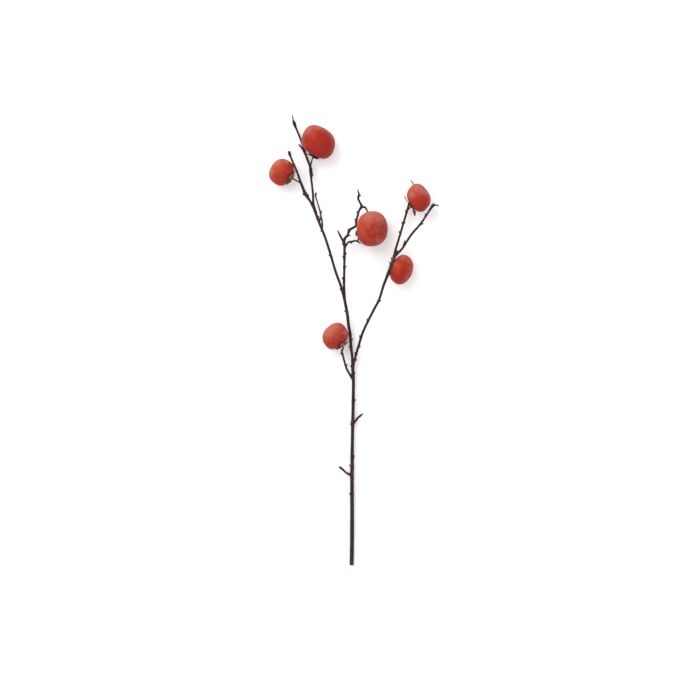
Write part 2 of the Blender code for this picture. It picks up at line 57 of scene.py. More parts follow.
# %% Camera and light
MM_PER_PIXEL = 1.9
PICTURE_PIXELS = 700
LENS, SENSOR = 85.0, 36.0
PICTURE_MIDDLE = (-7.1 * MM, -17.3 * MM)
FRUIT_LEVEL = 28 * MM
VIEW_WIDTH = MM_PER_PIXEL * PICTURE_PIXELS * MM
WALL_BRIGHTNESS, CEILING_BRIGHTNESS = 0.80, 1.0
LAMP_PLACE, LAMP_AIM = (-1.5, 1.7, 2.6), (0, 0.1, 0)
LAMP_SIZE, LAMP_POWER = 2.4, 52

camera_data = bpy.data.cameras.new("camera")
camera_data.lens = LENS
camera_data.sensor_width = SENSOR
camera = bpy.data.objects.new("camera", camera_data)
camera.location = (*PICTURE_MIDDLE, FRUIT_LEVEL + VIEW_WIDTH * LENS / SENSOR)
bpy.context.scene.collection.objects.link(camera)
bpy.context.scene.camera = camera
bpy.context.scene.view_settings.view_transform = "Standard"


def lamp(name, place, aim, size, power):
    """A square soft lamp at a place in metres, turned to face the place that it aims at."""
    data = bpy.data.lights.new(name, "AREA")
    data.size = size
    data.energy = power
    obj = bpy.data.objects.new(name, data)
    obj.location = place
    from_aim = np.array(place) - np.array(aim)
    pitch = math.acos(from_aim[2] / np.linalg.norm(from_aim))
    obj.rotation_euler = (pitch, 0, math.atan2(from_aim[1], from_aim[0]) + math.pi / 2)
    bpy.context.scene.collection.objects.link(obj)


lamp("window", LAMP_PLACE, LAMP_AIM, LAMP_SIZE, LAMP_POWER)

world = bpy.data.worlds.new("pale_room")
world.use_nodes = True
tree = world.node_tree
direction = tree.nodes.new("ShaderNodeTexCoord")
parts = tree.nodes.new("ShaderNodeSeparateXYZ")
rise = tree.nodes.new("ShaderNodeMapRange")
rise.inputs["To Min"].default_value = WALL_BRIGHTNESS
rise.inputs["To Max"].default_value = CEILING_BRIGHTNESS
tree.links.new(direction.outputs["Generated"], parts.inputs["Vector"])
tree.links.new(parts.outputs["Z"], rise.inputs["Value"])
tree.links.new(rise.outputs["Result"], tree.nodes["Background"].inputs["Strength"])
tree.nodes["Background"].inputs["Color"].default_value = (1.0, 1.0, 1.0, 1.0)
bpy.context.scene.world = world
print("camera height", round(camera.location.z, 3), "m")

# %% [markdown]
# ## A small language for materials
# A material is a graph of nodes. Writing each node out takes many lines, so one class wraps a socket and
# lets Python's own + - and * add the Math nodes. Everything else goes through one method, add, which takes
# the kind of node, its settings and its inputs.


# %% Socket sums and one method for every other node
class Wire:
    """A socket whose value can be used in sums. Each operator adds a Math node."""

    def __init__(self, finish, socket):
        self.finish = finish
        self.socket = socket

    def math(self, operation, first, second):
        return self.finish.add("ShaderNodeMath", {"operation": operation}, {0: first, 1: second})

    def __add__(self, other):
        return self.math("ADD", self, other)

    def __sub__(self, other):
        return self.math("SUBTRACT", self, other)

    def __rsub__(self, other):
        return self.math("SUBTRACT", other, self)

    def __mul__(self, other):
        return self.math("MULTIPLY", self, other)

    __radd__ = __add__
    __rmul__ = __mul__


class Finish:
    """A material under construction. shader is its Principled node."""

    def __init__(self, name, **settings):
        self.material = bpy.data.materials.new(name)
        self.material.use_nodes = True
        self.tree = self.material.node_tree
        self.shader = self.tree.nodes["Principled BSDF"]
        for socket, value in settings.items():
            self.shader.inputs[socket.replace("_", " ")].default_value = value

    def add(self, kind, settings=None, inputs=None, output=0):
        """Adds a node, sets its settings, then gives its sockets values or wires. Returns one output."""
        node = self.tree.nodes.new(kind)
        for name, value in (settings or {}).items():
            setattr(node, name, value)
        for name, value in (inputs or {}).items():
            if isinstance(value, Wire):
                self.tree.links.new(value.socket, node.inputs[name])
            else:
                node.inputs[name].default_value = value
        return Wire(self, node.outputs[output])

    def place(self):
        return self.add("ShaderNodeTexCoord", output="Object")

    def noise(self, where, size, detail=2.0, rough=0.5, warp=0.0):
        """Smooth random values with about this size of feature, in metres."""
        inputs = {"Vector": where, "Scale": 1 / size, "Detail": detail, "Roughness": rough,
                  "Distortion": warp}
        return self.add("ShaderNodeTexNoise", None, inputs, "Fac")

    def dots(self, where, size):
        """The distance to the nearest of many scattered points, in shares of their spacing."""
        return self.add("ShaderNodeTexVoronoi", None, {"Vector": where, "Scale": 1 / size}, "Distance")

    def ramp(self, value, low, high):
        """0 below low, 1 above high, and a smooth step between. low may be the larger one."""
        return self.add("ShaderNodeMapRange", {"interpolation_type": "SMOOTHSTEP"},
                        {"Value": value, "From Min": low, "From Max": high})

    def blend(self, share, first, second):
        """A colour that goes from first to second as share goes from 0 to 1."""
        return self.add("ShaderNodeMix", {"data_type": "RGBA"}, {"Factor": share, 6: first, 7: second}, 2)

    def stretch(self, where, scale):
        return self.add("ShaderNodeVectorMath", {"operation": "MULTIPLY"}, {0: where, 1: scale})

    def attribute(self, name, output="Fac"):
        return self.add("ShaderNodeAttribute", {"attribute_name": name}, None, output)

    def feed(self, socket, wire):
        self.tree.links.new(wire.socket, self.shader.inputs[socket])

    def bump(self, height, strength, depth):
        normal = self.add("ShaderNodeBump", None, {"Height": height, "Strength": strength, "Distance": depth})
        self.feed("Normal", normal)


# %% [markdown]
# ## From a grid of points to a mesh
# Every piece is a grid: rows of points that close round a path or an axis. The first and last row may
# shrink to one point, which closes the piece at that end, and the last column repeats the first. Doubles
# are merged afterwards, so the seam and both ends are closed.


# %% A mesh from a grid, with its own values at each point
def grid_piece(name, points, finish, values=None, sharp=60):
    """A closed mesh from a grid of points (rows, columns, 3). values gives extra numbers or vectors at each
    point, which the material reads by name."""
    rows, columns = points.shape[:2]
    index = np.arange(rows * columns).reshape(rows, columns)
    quads = np.stack([index[:-1, :-1], index[:-1, 1:], index[1:, 1:], index[1:, :-1]], axis=-1).reshape(-1, 4)
    mesh = bpy.data.meshes.new(name)
    mesh.from_pydata(points.reshape(-1, 3), [], quads)
    for key, value in (values or {}).items():
        value = np.ascontiguousarray(value, dtype=np.float32)
        kind, field = ("FLOAT", "value") if value.ndim == 2 else ("FLOAT_VECTOR", "vector")
        mesh.attributes.new(key, kind, "POINT").data.foreach_set(field, value.ravel())
    form = bmesh.new()
    form.from_mesh(mesh)
    bmesh.ops.remove_doubles(form, verts=form.verts, dist=1e-7)
    bmesh.ops.dissolve_degenerate(form, edges=form.edges, dist=1e-8)
    bmesh.ops.recalc_face_normals(form, faces=form.faces)
    form.to_mesh(mesh)
    form.free()
    mesh.materials.append(finish.material)
    mesh.shade_smooth()
    mesh.set_sharp_from_angle(angle=math.radians(sharp))
    obj = bpy.data.objects.new(name, mesh)
    bpy.context.scene.collection.objects.link(obj)
    return obj


def smooth_route(route, spacing):
    """Points about this far apart on a Catmull-Rom curve through the rows of (x, y, z, diameter)."""
    rows = np.asarray(route, float)
    padded = np.vstack([2 * rows[0] - rows[1], rows, 2 * rows[-1] - rows[-2]])
    out = []
    for a, b, c, d in zip(padded, padded[1:], padded[2:], padded[3:]):
        steps = max(1, round(np.linalg.norm(c[:3] - b[:3]) / spacing))
        t = (np.arange(steps) / steps)[:, None]
        out.append(0.5 * (2 * b + (c - a) * t + (2 * a - 5 * b + 4 * c - d) * t**2
                          + (3 * b - a - 3 * c + d) * t**3))
    return np.vstack(out + [rows[-1:]])


# %% [markdown]
# ## The routes of the limbs
# The branch forks again and again, and it bends a little at each bud. Each limb is a route of points with
# a diameter at each one, in millimetres: (x, y, z, diameter). A smooth curve runs through them. Where the
# photograph shows a bud, its place is given by the (x, y) that its tip is near.

# %% Limbs and buds
STEM = (
    (-4, -429, 3.65, 7.8), (-3, -341, 4.8, 7.4), (-3.4, -262, 6.3, 7.2), (-3.8, -255, 6.5, 8.2),
    (-3.2, -246, 6.7, 6.9), (-3, -220, 7, 6.5), (-2, -165, 8.3, 6.2), (-2, -155, 8.5, 7.0),
    (-1.5, -145, 8.8, 6.2), (-1, -112, 9.5, 6.2), (-0.6, -74, 10.5, 6.0), (-1.6, -60, 11, 6.0),
    (-2.4, -45, 11.2, 5.2), (-3, -29, 11.5, 4.9), (-4.4, -18, 11.5, 5.4), (-6, -1, 12, 5.6),
    (-7, 14, 12.5, 5.6), (-10, 31, 14.5, 5.6), (-12, 49, 17.5, 5.8), (-17, 76, 22, 5.4),
    (-24.3, 104, 25, 5.0), (-34.2, 131, 27, 4.9), (-45, 167, 28, 4.9), (-54.3, 196, 28, 4.8),
    (-63, 218, 28, 4.8), (-67.5, 230, 28, 5.2), (-77.2, 255, 28, 4.9), (-84.3, 267.7, 28, 4.6),
    (-91.7, 279, 28, 6.8), (-95.1, 286.7, 28.3, 5.8), (-99.3, 297, 29, 5.2), (-101.8, 304, 29.5, 4.6),
    (-107.5, 320, 33, 4.0), (-112.5, 332, 36, 4.1), (-117.5, 344, 38, 3.9), (-119.8, 349.5, 38.8, 4.2),
    (-121.4, 354, 39.5, 6.0), (-122.3, 358, 40, 5.0),
)
LEFT_TWIG = (
    (-71.5, 242, 28, 4.4), (-75.2, 254, 27.6, 5.0), (-76.9, 262, 26.8, 4.6), (-77.3, 276, 25, 4.3),
    (-78.7, 291, 22.2, 4.2), (-80.7, 307, 19.2, 4.3), (-81, 314, 17.8, 5.0), (-81.5, 319.5, 16.7, 6.6),
    (-82.1, 326, 15.4, 6.6), (-83.2, 333, 14, 5.2), (-85.5, 339, 12.7, 4.4), (-92, 356, 8.5, 4.5),
    (-99.5, 380, 8, 4.0), (-107.5, 400, 11, 3.9), (-110.5, 407, 12.7, 4.4), (-113.4, 415, 14.8, 6.7),
    (-115, 419.3, 16, 4.2), (-115.5, 422, 16.7, 3.0), (-117, 429.3, 18, 2.4),
)
LEFT_SPUR = ((-92, 357, 8.3, 3.8), (-98.5, 368, 9.5, 3.5), (-104.5, 374.5, 12, 3.6))
DEAD_TWIG = (
    (-60.7, 207, 28, 4.0), (-59.8, 220, 29.5, 3.6), (-60.8, 230, 30.5, 3.4), (-63, 241, 31, 3.3),
    (-64.8, 249, 31.5, 3.0), (-69.4, 264.5, 33, 2.5), (-72.6, 275.5, 35, 2.9), (-72.2, 281.3, 36, 1.9),
)
DEAD_TWIG_WEB = ((-66.5, 224, 28, 3.4), (-63.6, 232.5, 30, 3.0), (-62.4, 237.5, 31, 2.4))
MIDDLE_LIMB = (
    (-16, 70, 21, 4.0), (-18.5, 104, 25, 5.0), (-18, 136, 27.5, 4.7), (-17.5, 162, 29, 4.9),
    (-17.3, 180, 29.5, 5.3), (-18.4, 189.5, 30, 6.3), (-16, 195.5, 30.5, 5.1), (-11.5, 200.5, 31, 4.5),
    (-9.6, 206.5, 31.5, 4.8), (-6, 212, 32, 4.9), (3.4, 217.6, 33, 4.4), (4.4, 226, 33, 4.2),
    (7, 236, 32, 4.2), (9.8, 246.5, 31, 4.1), (14.7, 255.6, 30, 5.2), (11, 264, 31, 3.8),
    (8.3, 270.5, 32, 4.3), (10, 277.3, 33, 4.3), (8.6, 282, 34, 2.9), (7.8, 287, 35, 2.5),
)
MIDDLE_LEFT_TIP = ((-18, 186, 30, 4.0), (-23, 194.5, 31, 4.0), (-28, 204, 33.5, 3.3), (-30.5, 209.5, 35, 2.0))
MIDDLE_HOOK = ((14, 255.2, 30, 3.9), (21.8, 253.6, 26, 3.7), (24.6, 249.6, 20, 3.0), (27, 245, 14.5, 2.4))
MIDDLE_LOW_TWIG = (
    (-17, 178, 29.5, 3.8), (-10.2, 187.5, 27, 3.6), (-4, 188.6, 25, 3.9), (3.5, 190.8, 20, 3.5),
    (8, 189.5, 15.5, 3.1), (12.5, 186.5, 12, 2.4),
)
RIGHT_LIMB = (
    (-1, -72, 10.5, 5.2), (-0.5, -48, 12.5, 4.6), (2.2, -34, 14.6, 4.7), (5.6, -22, 16.5, 4.8),
    (10, -7, 18.5, 4.9), (15, 10, 21, 5.0), (22, 27, 24, 4.9), (38, 59, 30, 5.0), (48, 78, 34, 4.9),
    (56.5, 105, 39, 5.1), (61.5, 118, 41.5, 5.5), (64.8, 126.5, 46, 6.2), (67.4, 134.5, 48, 5.5),
    (71.4, 145.7, 49.2, 5.4), (76.3, 158, 47.5, 5.8), (83, 165.5, 44.4, 4.8), (92.5, 176, 40, 4.3),
    (109, 201, 36, 4.4), (127, 222, 34.5, 4.2), (138.7, 239.7, 34, 3.8), (147, 252.5, 34, 4.8),
    (150.9, 257.3, 34, 6.8), (155, 257.6, 34, 3.3), (160.6, 256.5, 34.6, 3.0),
)
RIGHT_TWIG = (
    (76.3, 159, 47, 4.9), (78.4, 170, 42.5, 4.6), (81.4, 180, 37, 4.4), (89, 205, 27, 4.2),
    (96.3, 230, 19, 4.2), (101, 245.5, 13, 4.3), (104.4, 257.6, 8, 4.0), (108, 270, 5, 3.4),
    (113.5, 286, 5, 2.8), (114.5, 298.3, 8, 2.4), (109, 306.5, 12, 2.0),
)
RIGHT_WEB = ((77.5, 160, 46.5, 3.6), (80.6, 167, 43.6, 3.6), (82.3, 171, 42.6, 2.8))
RIGHT_SPUR = ((94, 178.5, 39.6, 3.0), (97, 190, 41.8, 2.2))
FORK_TWIG = (
    (-1.3, -73, 10.5, 4.6), (-7, -65, 12, 4.2), (-13.2, -54, 13.8, 4.0), (-16.5, -44, 15.5, 4.0),
    (-20, -31, 19, 3.9), (-22.3, -22, 22, 3.8), (-23, -17, 24, 3.2),
)
STEM_SPUR_RIGHT = (
    (-1.5, -159, 8.5, 4.6), (2.2, -154.5, 9.5, 4.0), (6.2, -149, 10.5, 4.5), (9, -146, 11.5, 3.9),
    (12, -143.3, 12.5, 4.6), (17, -139.2, 14, 3.0),
)
STEM_SPUR_LEFT = (
    (-3, -259, 6.5, 6.0), (-7, -255.3, 7.5, 5.0), (-12, -253.6, 8, 4.2), (-18.2, -248.2, 9.5, 3.8),
    (-24, -243, 11, 5.0), (-27.5, -241, 12, 4.2),
)

LIMBS = {
    "stem": (STEM, ((-8, -292), (-6.5, -237), (1.8, -220), (-7, -159), (2, -112), (3.6, -61), (-8, -48),
                    (-8, -11), (-3, 4), (-16, 58), (-27, 98), (-47, 163), (-63, 238), (-96, 279),
                    (-87, 277))),
    "left_twig": (LEFT_TWIG, ((-79, 318), (-97, 387))),
    "left_spur": (LEFT_SPUR, ()),
    "dead_twig": (DEAD_TWIG, ((-62.5, 247), (-70, 279))),
    "dead_twig_web": (DEAD_TWIG_WEB, ()),
    "middle_limb": (MIDDLE_LIMB, ((-22, 120), (-21.3, 161), (-13.8, 167), (-14, 142), (-22.4, 184), (-6, 201),
                                  (-10.3, 212.5), (1, 231), (6, 245), (17.8, 258), (13, 278))),
    "middle_left_tip": (MIDDLE_LEFT_TIP, ()),
    "middle_hook": (MIDDLE_HOOK, ()),
    "middle_low_twig": (MIDDLE_LOW_TWIG, ((-4, 186),)),
    "right_limb": (RIGHT_LIMB, ((6, -35), (2, -22.5), (12.5, -10), (11, 10.5), (22, 44), (53, 76), (70, 127),
                                (70, 147), (71, 157), (134, 220), (133, 243))),
    "right_twig": (RIGHT_TWIG, ((86, 208), (92, 225), (99, 225), (98.5, 248.5), (118, 299))),
    "right_web": (RIGHT_WEB, ()),
    "right_spur": (RIGHT_SPUR, ()),
    "fork_twig": (FORK_TWIG, ((-12, -45), (-25.5, -23))),
    "stem_spur_right": (STEM_SPUR_RIGHT, ()),
    "stem_spur_left": (STEM_SPUR_LEFT, ()),
}
print(len(LIMBS), "limbs,", sum(len(buds) for _, buds in LIMBS.values()), "buds")

# %% [markdown]
# ## The six fruits and how they lie
# A persimmon of this kind is a squarish ball, a little lower than it is wide, with a calyx at one end and
# a small dark tip at the other. Each fruit has its middle, the way that its tip points, its diameter and
# height, the turn of its four ribs, the sizes of its calyx, sepal by sepal, and the points that its stalk
# passes. Five rest on the ground, and the upper right one is held clear of it by its twig.
#
# The list after it is about looks alone. The powdery bloom on the skin is rubbed off in places, so it
# gives the patches where the bloom stays, as seen from above in shares of the fruit's radius: (x, y, size).
# Most lie on the upper side that faces the lamp, so they are also a painted highlight. It says how thick
# the haze between them is, how far the fruit has turned crimson, how much is left of its dark dry tip, and
# how dark each sepal is, partly its own dry brown and partly painted shade.

# %% Fruits
FRUITS = {
    "top": dict(at=(-66.6, 377.7), points=62, tilt=12, diameter=66.6, height=55, lean=0.12, ribs=5,
                sepals=40, reach=(15, 14, 14, 13.5), knob=(3.6, 5.5), curls=(2.2, 1.6, 1.0, 1.4),
                folds=(2.2, 1.8, 1.6, 1.8), twist=30,
                stalk=((-82.2, 327, 15.2), (-81.6, 337, 18)), hangs=None),
    "left": dict(at=(-137.6, 320.8), points=150.5, tilt=-7, diameter=50.4, height=42.4, lean=0, ribs=45,
                 sepals=0, reach=(15.5, 17, 15.5, 16), knob=(4.8, 7.5), curls=(0.6, 0.5, 0.8, 1.4),
                 folds=(0.8, 0.6, 0.8, 1.2), twist=20,
                 stalk=((-100.5, 299.5, 29.2), (-105, 302.4, 29.6)), hangs=None),
    "middle": dict(at=(35.7, 212.7), points=-3, tilt=38, diameter=66.9, height=47.5, lean=0.04, ribs=110,
                   sepals=125, reach=(20.5, 18.5, 18, 17), knob=(3.4, 5.0), curls=(4.2, 3.0, 2.0, 2.0),
                   folds=(1.2, 1.2, 1.4, 1.4), twist=-20,
                   stalk=((8, 189.5, 15.5), (9, 197, 11.5), (11, 206, 10.5)), hangs=None),
    "right_top": dict(at=(123.5, 271.3), points=38, tilt=12, diameter=51.6, height=41, lean=0.16, ribs=8,
                      sepals=0, reach=(23, 15, 18, 17), knob=(2.4, 4.0), curls=(2.6, 0.4, 7.0, 2.0),
                      folds=(3.4, 0.6, 4.8, 1.6), twist=75,
                      stalk=((101.8, 247, 12.5), (104, 250.5, 19)), hangs=36),
    "right_low": dict(at=(91.4, 135.3), points=-28, tilt=20, diameter=56, height=37, lean=-0.12, ribs=45,
                      sepals=45, reach=(16, 15, 15, 16), knob=(3.4, 5.0), curls=(1.8, 1.2, 1.6, 2.0),
                      folds=(1.5, 1.5, 1.5, 1.5), twist=40,
                      stalk=((71.4, 145.7, 48), (69, 147.4, 34), (69.2, 148.6, 23)), hangs=None),
    "fork": dict(at=(-35, 9.6), points=129, tilt=-8, diameter=50.9, height=43.3, lean=-0.08, ribs=74,
                 sepals=4, reach=(13.5, 17.5, 15.5, 16), knob=(4.8, 7.5), curls=(0.4, 0.6, 1.6, 1.2),
                 folds=(0.4, 3.0, 3.2, 1.2), twist=25,
                 stalk=((-22.3, -22, 22), (-21.6, -17, 25)), hangs=None),
}
LOOKS = {
    "top": dict(bloom_and_highlight=((-0.55, 0.62, 0.34), (-0.05, 0.75, 0.22), (0.80, 0.30, 0.16)),
                haze=-0.16, blush=0.72, tip=0.3, dark_and_shade=(0.9, 0.85, 0.9, 0.9)),
    "left": dict(bloom_and_highlight=((-0.30, 0.70, 0.34), (-0.78, -0.05, 0.22), (0.35, 0.75, 0.18)),
                 haze=0.15, blush=0.50, tip=0.0, dark_and_shade=(0.8, 0.05, 0.2, 0.5)),
    "middle": dict(bloom_and_highlight=((-0.15, 0.80, 0.38), (0.45, 0.70, 0.36), (0.85, 0.10, 0.20), (0.45, -0.80, 0.22)),
                   haze=0.22, blush=0.45, tip=0.15, dark_and_shade=(0.45, 0.5, 0.6, 0.6)),
    "right_top": dict(bloom_and_highlight=((-0.15, 0.75, 0.40), (0.20, 0.50, 0.26), (-0.6, 0.2, 0.24), (0.55, 0.35, 0.22)),
                      haze=0.08, blush=0.52, tip=0.2, dark_and_shade=(0.9, 0.85, 0.4, 0.6)),
    "right_low": dict(bloom_and_highlight=((0.05, 0.85, 0.34), (0.45, 0.60, 0.20), (-0.55, 0.30, 0.18)),
                      haze=-0.20, blush=0.50, tip=0.1, dark_and_shade=(0.5, 0.6, 0.6, 0.6)),
    "fork": dict(bloom_and_highlight=((-0.50, 0.45, 0.46), (-0.05, 0.78, 0.36), (0.75, 0.25, 0.14)),
                 haze=0.18, blush=0.50, tip=1.0, dark_and_shade=(0.8, 0.0, 0.15, 0.5)),
}
SQUARENESS = 2.5  # exponent of the outline: 2 is an ellipse, more is squarer
SHOULDER_SHARE = 0.04  # how much wider the calyx half is than the tip's half
STEM_DIMPLE = (3.0 * MM, 8.0 * MM)  # depth and width
BLOSSOM_DIMPLE = (1.3 * MM, 5.0 * MM)
LOBING = (0.010, 0.024)  # the ribs everywhere, and how much they gain towards the calyx
WAVES = ((1, 0.014), (2, 0.010), (3, 0.007))  # how many round the fruit, and how high
RESTING_DENT = 0.45 * MM  # how deep the table flattens a fruit
SEPALS = 4
PHASE_STEP = 2.4  # radians, near the golden angle, so that no two waves fall together


def fruit_frame(fruit):
    """The fruit's axis towards its tip, which leans, and the level and upward ways across it."""
    turn, tilt = math.radians(fruit["points"]), math.radians(fruit["tilt"])
    axis = np.array((math.cos(tilt) * math.cos(turn), math.cos(tilt) * math.sin(turn), math.sin(tilt)))
    level = np.array((-math.sin(turn), math.cos(turn), 0.0))
    return axis + fruit["lean"] * level, level, np.cross(axis, level)


def fruit_surface(fruit, order, around, down):
    """Radius and height along the axis at these angles: a superellipse turned about the axis, with a dimple
    at each end, four soft ribs that grow towards the calyx, and a few waves that differ by fruit.
    around is the angle about the axis, and down is 0 at the tip and pi at the calyx."""
    half, high = fruit["diameter"] / 2 * MM, fruit["height"] / 2 * MM
    power = 2 / SQUARENESS
    cosine = np.cos(down)
    radius = half * np.sin(down) ** power * (1 - SHOULDER_SHARE * cosine)
    height = high * np.sign(cosine) * abs(cosine) ** power
    height = height - BLOSSOM_DIMPLE[0] * np.exp(-((radius / BLOSSOM_DIMPLE[1]) ** 2)) * (cosine > 0)
    height = height + STEM_DIMPLE[0] * np.exp(-((radius / STEM_DIMPLE[1]) ** 2)) * (cosine < 0)
    ribs = LOBING[0] + LOBING[1] * ((1 - cosine) / 2) ** 2
    shape = 1 - ribs * np.cos(SEPALS * (around - math.radians(fruit["ribs"])))
    for count, size in WAVES:
        shape = shape + size * np.sin(count * around + PHASE_STEP * order + count) * np.sin(down)
    return radius * shape, height


def middle_of(fruit, order):
    """The fruit's middle in metres: as low as the table lets it lie, or at the height where it hangs."""
    axis, level, up = fruit_frame(fruit)
    around, down = np.meshgrid(np.linspace(0, 2 * math.pi, 181), np.linspace(0, math.pi, 91))
    radius, height = fruit_surface(fruit, order, around, down)
    lowest = (height * axis[2] + radius * (np.cos(around) * level[2] + np.sin(around) * up[2])).min()
    z = fruit["hangs"] * MM if fruit["hangs"] else -lowest - RESTING_DENT
    return np.array((fruit["at"][0] * MM, fruit["at"][1] * MM, z))


def placed(fruit, middle, radius, around, height):
    """Points of the fruit's own round frame, in the world."""
    axis, level, up = fruit_frame(fruit)
    return (middle + height[..., None] * axis + radius[..., None] * (
        np.cos(around)[..., None] * level + np.sin(around)[..., None] * up))


# %% [markdown]
# ## The skin of a ripe persimmon
# The skin is waxy and orange-red. It turns to crimson round the calyx, and its side away from the lamp is
# painted darker crimson, which is painted shade. It carries a thin pale bloom like the one on a grape or a
# plum. The bloom is rubbed away in patches, and the patches that stay lie mostly on the lit upper side, so
# they are also a painted highlight. Point values made with the mesh say where the bloom stays and how far
# the crimson and the painted shade have come, and noise of several sizes breaks their edges. One noise is
# stretched into faint arcs that run round the fruit. Bloom is dull and bare skin is satin, so roughness
# follows it.

# %% Fruit skin
skin = Finish("persimmon_skin", Specular_IOR_Level=0.12)
here = skin.place()
broad = skin.noise(here, 0.026, 2.0, 0.5, 0.6)
middling = skin.noise(here, 0.010, 3.0, 0.55, 0.4)
small = skin.noise(here, 0.0034, 4.0, 0.6)
speck = skin.noise(here, 0.0012, 2.0)
arcs = skin.noise(skin.attribute("skin_space", "Vector"), 0.34, 3.0, 0.6, 0.3)
# Painted shade: this crimson mask also darkens the side of each fruit that faces away from the lamp.
crimson_and_shade = skin.attribute("crimson_and_shade") + (broad - 0.5) * 1.2 + (middling - 0.5) * 1.0 + (arcs - 0.5) * 0.8
ripe = skin.blend(skin.ramp(crimson_and_shade, -0.20, 0.50), (0.430, 0.050, 0.014, 1), (0.335, 0.018, 0.009, 1))
crimson = skin.blend(skin.ramp(crimson_and_shade, 0.55, 1.35), ripe, (0.235, 0.008, 0.009, 1))
# The pale powder is real bloom, and since its patches lie mostly on the lit upper side it is also a painted
# highlight.
powder_and_highlight = skin.attribute("bloom_and_highlight") + (middling - 0.5) * 1.0 + (small - 0.5) * 0.6 + (arcs - 0.5) * 1.3
powder_and_highlight = skin.ramp(powder_and_highlight, 0.05, 1.05)
film = powder_and_highlight * 0.46 + skin.ramp(small, 0.45, 0.75) * 0.06
dusty_and_highlit = skin.blend(film, crimson, (0.530, 0.225, 0.185, 1))
lenticels = skin.ramp(skin.dots(here, 0.0024), 0.16, 0.07)
dotted = skin.blend(lenticels * 0.20, dusty_and_highlit, (0.520, 0.160, 0.080, 1))
tip_dark = skin.attribute("tip")
skin.feed("Base Color", skin.blend(tip_dark, dotted, (0.020, 0.010, 0.008, 1)))
skin.feed("Roughness", powder_and_highlight * 0.24 + small * 0.10 + 0.38)
skin.bump(small * 0.6 + speck * 0.25 + lenticels * 0.15, 0.22, 0.0004)

# %% [markdown]
# ## The fruits
# The same formula as the plain solid gives the fruit's form on a much finer grid. Small dents change the
# distance from the axis, a fine crease runs between each two ribs near the calyx, and a dark dry tip
# stands in the dimple at the far end. Where the fruit rests, the table flattens it.

# %% Fruits from two angles
FRUIT_COLUMNS, FRUIT_ROWS = 200, 140
# Dents: how many round the fruit, how many down it, and the height in millimetres.
DENTS = ((3, 5, 0.16), (5, 4, 0.13), (4, 9, 0.09), (9, 7, 0.06), (13, 11, 0.035), (17, 6, 0.03))
CREASE_DEPTH, CREASE_WIDTH = 0.45 * MM, 0.16
CREASE_START, CREASE_GROWTH = 1.5, 1.2  # radians down from the tip
TIP_HEIGHT, TIP_WIDTH, TIP_DARK_WIDTH = 1.7 * MM, 0.9 * MM, 1.6 * MM
BLOOM_AND_HIGHLIGHT_FULL, BLOOM_AND_HIGHLIGHT_SPREAD, BLOOM_AND_HIGHLIGHT_DEPTH_SHARE = 0.90, 1.3, 0.6
PAINTED_SHADE_WAY = np.array((0.50, -0.76, -0.42))  # the side away from the lamp, painted darker crimson as painted shade
# Painted shade on the side away from the lamp, then the crimson round the calyx, and where the calyx side
# starts.
PAINTED_SHADE_ON_SIDE, FLUSH_AT_CALYX, CALYX_SIDE = 0.45, 0.25, 2.0


def bloom_and_highlight_over(name, fruit, middle, points):
    """How thick the bloom is at each point: the fruit's haze plus the nearest patch, which fades as a bell
    curve. The patches lie mostly on the lit upper side, so they are also a painted highlight."""
    half = fruit["diameter"] / 2 * MM
    across = (points - middle) / half
    thick = np.zeros(points.shape[:2])
    for x, y, size in LOOKS[name]["bloom_and_highlight"]:
        z = math.sqrt(max(0.0, 1 - x * x - y * y))
        flat = (across[..., 0] - x) ** 2 + (across[..., 1] - y) ** 2
        far = flat + BLOOM_AND_HIGHLIGHT_DEPTH_SHARE * (across[..., 2] - z) ** 2
        thick = np.maximum(thick, np.exp(-far / (BLOOM_AND_HIGHLIGHT_SPREAD * size) ** 2))
    return LOOKS[name]["haze"] + BLOOM_AND_HIGHLIGHT_FULL * thick


def crimson_and_shade_over(name, fruit, middle, points, down):
    """How crimson the skin is: the fruit's blush and more round its calyx, plus painted shade that makes the
    side away from the lamp darker crimson.
    """
    across = (points - middle) / (fruit["diameter"] / 2 * MM)
    sided = LOOKS[name]["blush"] + PAINTED_SHADE_ON_SIDE * (across @ PAINTED_SHADE_WAY)
    return np.clip(sided + FLUSH_AT_CALYX * np.clip(down - CALYX_SIDE, 0, 1), 0, 1.2)


